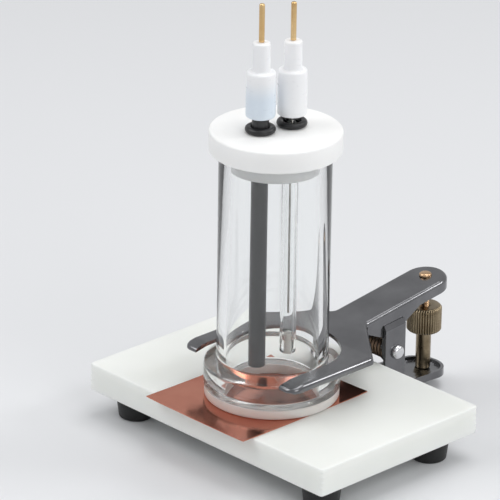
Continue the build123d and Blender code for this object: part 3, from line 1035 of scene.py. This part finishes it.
@dataclass
class Clamp(Assembly):
    """Spring clamp with its pivot pin, torsion spring, stud and thumb nut.

    Args:
        ease: width of the arms' eased edges.
        head: height of the nut's head.
        bevel: size of the bevels under the head and round its hole.
        dome: size of the rounding over the head.
        sleeve: radius of the nut's sleeve.
        hole: depth to which the nut's hole is open.
        grooves: number of knurl grooves round the nut's head.
        groove_depth: depth of a groove.
        groove_from: how far inside the rim the grooves start.
        groove_fade: width over which they reach their depth.
        shaft: radius of the stud.
        gap: between the stud and the nut's hole.
        rivet: radius of the stud's riveted end.
        rivet_flat: radius of the flat on it.
        rivet_height: its height with the part inside the handle.
        rivet_edge: height of the part inside the handle.
        thread_pitch: pitch of the stud's thread.
        thread_depth: depth of the thread.
        thread_fade: height over which the thread and the stud's point come in.
        plain: length without a thread under the riveted end.
        point: radius of the stud's point, as a share of its own.
    """

    ease: float = 0.3
    head: float = 9.9
    bevel: float = 0.6
    dome: float = 0.8
    sleeve: float = 2.8
    hole: float = 3.0
    grooves: int = 40
    groove_depth: float = 0.34
    groove_from: float = 0.9
    groove_fade: float = 0.5
    shaft: float = 1.8
    gap: float = 0.1
    rivet: float = 2.35
    rivet_flat: float = 0.6
    rivet_height: float = 1.2
    rivet_edge: float = 0.3
    thread_pitch: float = 0.7
    thread_depth: float = 0.3
    thread_fade: float = 0.6
    plain: float = 2.0
    point: float = 0.3

    def nut(self) -> bpy.types.Object:
        """The thumb nut: a turned profile whose head is grooved.

        On the head the radius loses a groove's depth times the square of half of 1 + cos of the
        groove count times the angle.
        """
        bottom, top = levels("thumb_nut")
        wide = radius_of("thumb_nut")
        under = top - self.head
        bore = self.shaft + self.gap
        corners = [
            Corner(0, bottom),
            Corner(self.sleeve, bottom, 0.3),
            Corner(self.sleeve, under, 0.1),
            Corner(wide - self.bevel, under, 0.1),
            Corner(wide, under + self.bevel, 0.2),
            Corner(wide, top - self.dome, 0.5),
            Corner(wide - self.dome, top, 0.5),
            Corner(bore + self.bevel, top, 0.1),
            Corner(bore, top - self.bevel, 0.1),
            Corner(bore, top - self.hole),
            Corner(0, top - self.hole),
        ]
        profile = rounded(corners, False, 6)
        angle = full_turn(self.grooves * 10)
        radius, height = profile[:, :1], profile[:, 1:]
        on_head = np.clip((radius - wide + self.groove_from) / self.groove_fade, 0, 1)
        on_head = on_head * (height > under - 0.01)
        groove = ((1 + np.cos(angle * self.grooves)) / 2) ** 2
        cut = radius - self.groove_depth * on_head * groove
        return surface("nut", around("thumb_nut", cut, height, angle), False, 40.0)

    def stud(self) -> bpy.types.Object:
        """The stud: a threaded rod whose radius follows the cosine of its height in turns less the angle.

        Its upper end swells into the riveted head over the handle: radius and height go with
        the cosine, to the power 0.6, and the sine of a quarter turn.
        """
        bottom, top = levels("clamp_stud")
        head_bottom = top - self.rivet_height
        rows = np.concatenate([np.linspace(bottom, head_bottom, 260), [head_bottom]])[:, None]
        angle = full_turn(48)
        wave = (1 + np.cos(2 * math.pi * (rows / self.thread_pitch) - angle)) / 2
        threaded = np.clip((head_bottom - self.plain - rows) / self.thread_fade, 0, 1)
        ends = np.clip((rows - bottom) / self.thread_fade, self.point, 1)
        radius = self.shaft * ends - self.thread_depth * (1 - wave) * threaded
        dome = np.linspace(0, math.pi / 2, 9)[:, None]
        crown = self.rivet_flat + (self.rivet - self.rivet_flat) * np.cos(dome) ** 0.6
        rise = self.rivet_edge + (self.rivet_height - self.rivet_edge) * np.sin(dome)
        head = np.repeat(crown, angle.size, axis=1)
        pole = np.zeros((1, angle.size))
        radius = np.concatenate([pole, radius, head[:1], head, pole])
        level = head_bottom + rise
        level = np.concatenate([rows[:1], rows, level[:1] - self.rivet_edge, level, level[-1:]])
        return surface("stud_thread", around("clamp_stud", radius, level, angle), False, 40.0)

    def build(self) -> None:
        """Build and fit the clamp."""
        steel = Metal(
            "clamp_steel", linear(124, 124, 126), linear(106, 106, 108),
            rough=0.17, vary=0.09, grain=Grain.EVEN, depth=0.002, stain=70.0,
        ).material()
        brass = Metal(
            "aged_brass", linear(162, 147, 122), linear(122, 108, 86),
            rough=0.24, vary=0.14, grain=Grain.TURNED, depth=0.004, stain=160.0,
        )
        bare = Metal(
            "bare_brass", linear(204, 172, 138), linear(176, 142, 108),
            rough=0.2, vary=0.14, grain=Grain.TURNED, depth=0.004, stain=220.0,
        )
        bright = Metal(
            "bright_steel", linear(222, 222, 224), linear(200, 200, 202),
            rough=0.1, vary=0.1, grain=Grain.EVEN, depth=0.004,
        )
        spring = Metal(
            "spring_steel", linear(150, 128, 108), linear(112, 92, 74),
            rough=0.28, vary=0.15, grain=Grain.EVEN,
        )
        for node, body in (("clamp_upper_arm", "upper_arm"), ("clamp_lower_arm", "root")):
            self.shop.fit(dressed_copy(node, self.ease, 3), body, steel, node)
        self.shop.fit(dressed_copy("pivot_pin"), "root", bright.material(), "pivot_pin")
        self.shop.fit(self.stud(), "upper_arm", bare.material(), "clamp_stud")
        self.shop.fit(self.nut(), "thumb_nut", brass.material(), "thumb_nut")
        coil = dressed_copy("torsion_spring")
        coil.data.materials.append(spring.material())
        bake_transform(coil)
        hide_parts("torsion_spring")
        log.info("%s bends between root and upper_arm", coil.name)


@dataclass(frozen=True)
class Lamp:
    """Square soft box that faces the cell.

    Args:
        name: the lamp's name.
        place: its place, in metres.
        size: its side, in metres.
        power: its power, in watts.
        aim: height of the point that it faces over the frame's origin, in metres.
    """

    name: str
    place: Triple
    size: float
    power: float
    aim: float = 0.08

    def hang(self) -> None:
        """Hang the lamp and turn it to the cell."""
        data = bpy.data.lights.new(self.name, "AREA")
        data.size = self.size
        data.energy = self.power
        lamp = bpy.data.objects.new(self.name, data)
        lamp.location = self.place
        facing = Vector((0, 0, self.aim)) - Vector(self.place)
        lamp.rotation_euler = facing.to_track_quat("-Z", "Y").to_euler()
        bpy.context.scene.collection.objects.link(lamp)


@dataclass
class Studio:
    """Floor, lights and the photograph's camera.

    Args:
        azimuth: the camera's bearing in degrees, 0 looking along +Y.
        elevation: the camera's height in degrees.
        roll: the camera's turn about its own axis in degrees.
        distance: from the camera to the aim.
        focal: focal length in pixels of the photograph.
        aim_height: aim above the board on the cell's axis.
        aim_right: the aim's shift to the right.
        aim_up: the aim's shift up.
        floor_radius: radius of the floor, in metres.
        ambient: strength of the light from all round.
        backdrop: strength of the backdrop that the camera, metal and glass see.
        near: where the floor starts to melt into the backdrop, in metres.
        far: where it has melted, in metres.
        pale: linear colour of floor and backdrop.
        lamps: the soft boxes.
    """

    azimuth: float = 45.94
    elevation: float = 22.952
    roll: float = 0.817
    distance: float = 1440.9
    focal: float = 4071.6
    aim_height: float = 40.0
    aim_right: float = -8.285
    aim_up: float = 13.995
    floor_radius: float = 4.0
    ambient: float = 0.46
    backdrop: float = 0.85
    near: float = 0.3
    far: float = 1.3
    pale: Colour = linear(226, 227, 229)
    lamps: tuple[Lamp, ...] = (
        Lamp("key", (-0.6, -0.8, 1.1), 0.8, 6.5),
        Lamp("fill", (1.2, -0.2, 0.8), 0.8, 4.5),
        Lamp("top", (0.1, 0.3, 1.5), 1.0, 9),
        Lamp("rim", (0.75, 0.95, 0.85), 0.35, 3.5),
    )

    def camera(self) -> None:
        """Place the camera by its bearing, height, roll and distance from the aim."""
        bearing, height, roll = (math.radians(a) for a in (self.azimuth, self.elevation, self.roll))
        flat = math.cos(height)
        back = Vector((math.sin(bearing) * flat, -math.cos(bearing) * flat, math.sin(height)))
        level = Vector((math.cos(bearing), math.sin(bearing), 0))
        rise = back.cross(level)
        right = math.cos(roll) * level + math.sin(roll) * rise
        up = math.cos(roll) * rise - math.sin(roll) * level
        x, y = centre_of("glass_cell")
        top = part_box("base_board")[1][2]
        aim = Vector((x, y, top + self.aim_height * MM))
        aim += right * self.aim_right * MM + up * self.aim_up * MM
        data = bpy.data.cameras.new("camera")
        data.sensor_width = SENSOR_WIDTH
        data.lens = self.focal / PHOTO_WIDTH * SENSOR_WIDTH
        data.clip_start, data.clip_end = 0.01, 50
        camera = bpy.data.objects.new("camera", data)
        turn = Matrix((right, up, back)).transposed().to_4x4()
        camera.matrix_world = Matrix.Translation(aim + back * self.distance * MM) @ turn
        bpy.context.scene.collection.objects.link(camera)
        bpy.context.scene.camera = camera

    def floor(self) -> None:
        """Lay a wide pale floor: a disc at the level of the feet.

        Camera and mirror rays see it melt into the backdrop as the distance from the frame's
        origin grows from near to far. All other rays meet a plain matt floor.
        """
        angle = full_turn(64)
        rim = np.stack([np.cos(angle), np.sin(angle), np.zeros_like(angle)], -1) * self.floor_radius
        mesh = bpy.data.meshes.new("floor")
        mesh.from_pydata(rim.tolist(), [], [list(range(angle.size))])
        floor = bpy.data.objects.new("floor", mesh)
        graph = Graph("floor_pale")
        graph.set(Base_Color=(*self.pale, 1), Roughness=0.6)
        away = graph.nodes.new("ShaderNodeVectorMath")
        away.operation = "LENGTH"
        graph.links.new(graph.place, away.inputs[0])
        fade = graph.ramp(away.outputs["Value"], (self.near, self.far), smooth=True)
        path = graph.nodes.new("ShaderNodeLightPath")
        seen = graph.calculate("MAXIMUM", path.outputs["Is Camera Ray"], path.outputs["Is Glossy Ray"])
        glow = graph.nodes.new("ShaderNodeEmission")
        glow.inputs["Color"].default_value = (*self.pale, 1)
        glow.inputs["Strength"].default_value = self.backdrop
        blend = graph.nodes.new("ShaderNodeMixShader")
        graph.links.new(graph.calculate("MULTIPLY", fade, seen), blend.inputs["Fac"])
        graph.links.new(graph.shader.outputs["BSDF"], blend.inputs[1])
        graph.links.new(glow.outputs["Emission"], blend.inputs[2])
        graph.links.new(blend.outputs["Shader"], graph.nodes["Material Output"].inputs["Surface"])
        mesh.materials.append(graph.material)
        bpy.context.scene.collection.objects.link(floor)

    def world(self) -> None:
        """Light the cell evenly from all round, and show camera, metal and glass a brighter backdrop."""
        world = bpy.data.worlds.new("studio")
        bpy.context.scene.world = world
        world.use_nodes = True
        nodes, links = world.node_tree.nodes, world.node_tree.links
        background = nodes["Background"]
        background.inputs["Color"].default_value = (*self.pale, 1)
        path = nodes.new("ShaderNodeLightPath")
        strength = nodes.new("ShaderNodeMapRange")
        strength.inputs["To Min"].default_value = self.backdrop
        strength.inputs["To Max"].default_value = self.ambient
        links.new(path.outputs["Is Diffuse Ray"], strength.inputs["Value"])
        links.new(strength.outputs["Result"], background.inputs["Strength"])

    def build(self) -> None:
        """Set up the view transform, camera, floor, lamps and world."""
        bpy.context.scene.view_settings.view_transform = "Standard"
        self.camera()
        self.floor()
        for lamp in self.lamps:
            lamp.hang()
        self.world()


def main() -> None:
    """Load the frame, dress every sub-assembly and set up the studio."""
    logging.basicConfig(level=logging.INFO, format="%(name)s: %(message)s")
    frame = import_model()
    shop = Workshop({part["node"]: part["material_slot"] for part in frame["record"]["subparts"]})
    marks = (300.0, 300.0, 900.0)
    # The milky handle's lower part takes a painted shade of the graphite rod inside it.
    milky = Plastic(
        "handle_milky", linear(247, 248, 250), linear(244, 246, 249),
        rough=0.3, skin=0.0004, marks=marks, glow=0.4,
        rod_shade=linear(222, 232, 242), rod_shade_top=levels("counter_handle")[0] + ROD_IN_HANDLE,
    )
    white = Plastic(
        "handle_white", linear(252, 252, 254), linear(249, 250, 252),
        rough=0.3, skin=0.0004, marks=marks, glow=0.4,
    )
    assemblies = [
        Board(shop),
        Sample(shop),
        Tube(shop),
        Lid(shop),
        Counter(shop, "counter", milky),
        Reference(shop, "reference", white),
        Clamp(shop),
    ]
    for assembly in assemblies:
        assembly.build()
    Studio().build()


if __name__ == "__main__":
    main()
